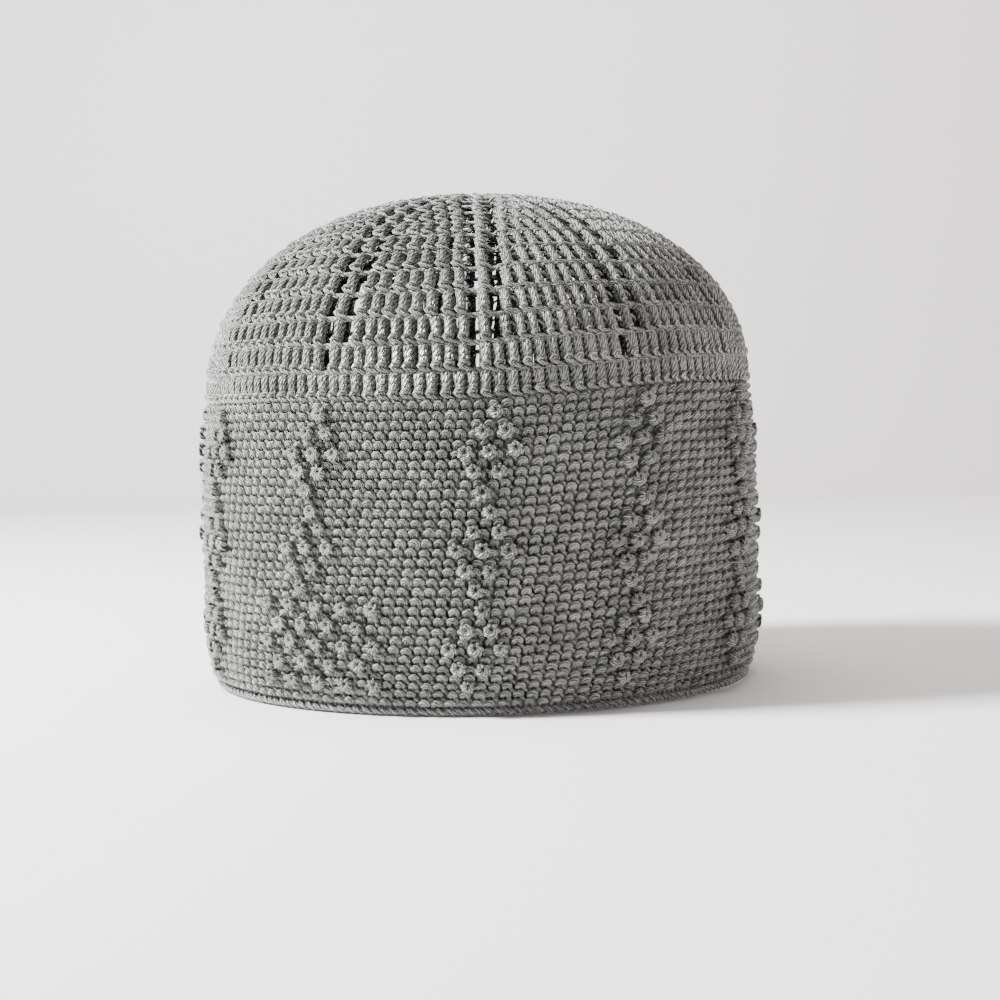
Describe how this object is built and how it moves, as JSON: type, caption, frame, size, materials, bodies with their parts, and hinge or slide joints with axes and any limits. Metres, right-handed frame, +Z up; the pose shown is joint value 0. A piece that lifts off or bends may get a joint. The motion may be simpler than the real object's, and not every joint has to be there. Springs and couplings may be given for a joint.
{
  "type": "crocheted kufi cap",
  "caption": "Deep round crocheted cap with an openwork domed crown, a close-stitched band with raised bobbles in diamonds, and a corded rim.",
  "frame": {"origin": "on the surface that the rim rests on, under the middle of the cap's bounding box", "axes": "+Z up through the crown, -Y towards the front column of bobbles, +X to the right of someone who looks at that column"},
  "size_m": [0.184, 0.176, 0.1555],
  "materials": {
    "crown_yarn": "matte twisted yarn, tall openwork stitches",
    "band_yarn": "matte twisted yarn, short close stitches",
    "edge_yarn": "matte twisted yarn, corded slip stitches"
  },
  "bodies": {
    "root": {"crown": "crown_yarn", "band": "band_yarn", "edge": "edge_yarn"}
  },
  "joints": []
}
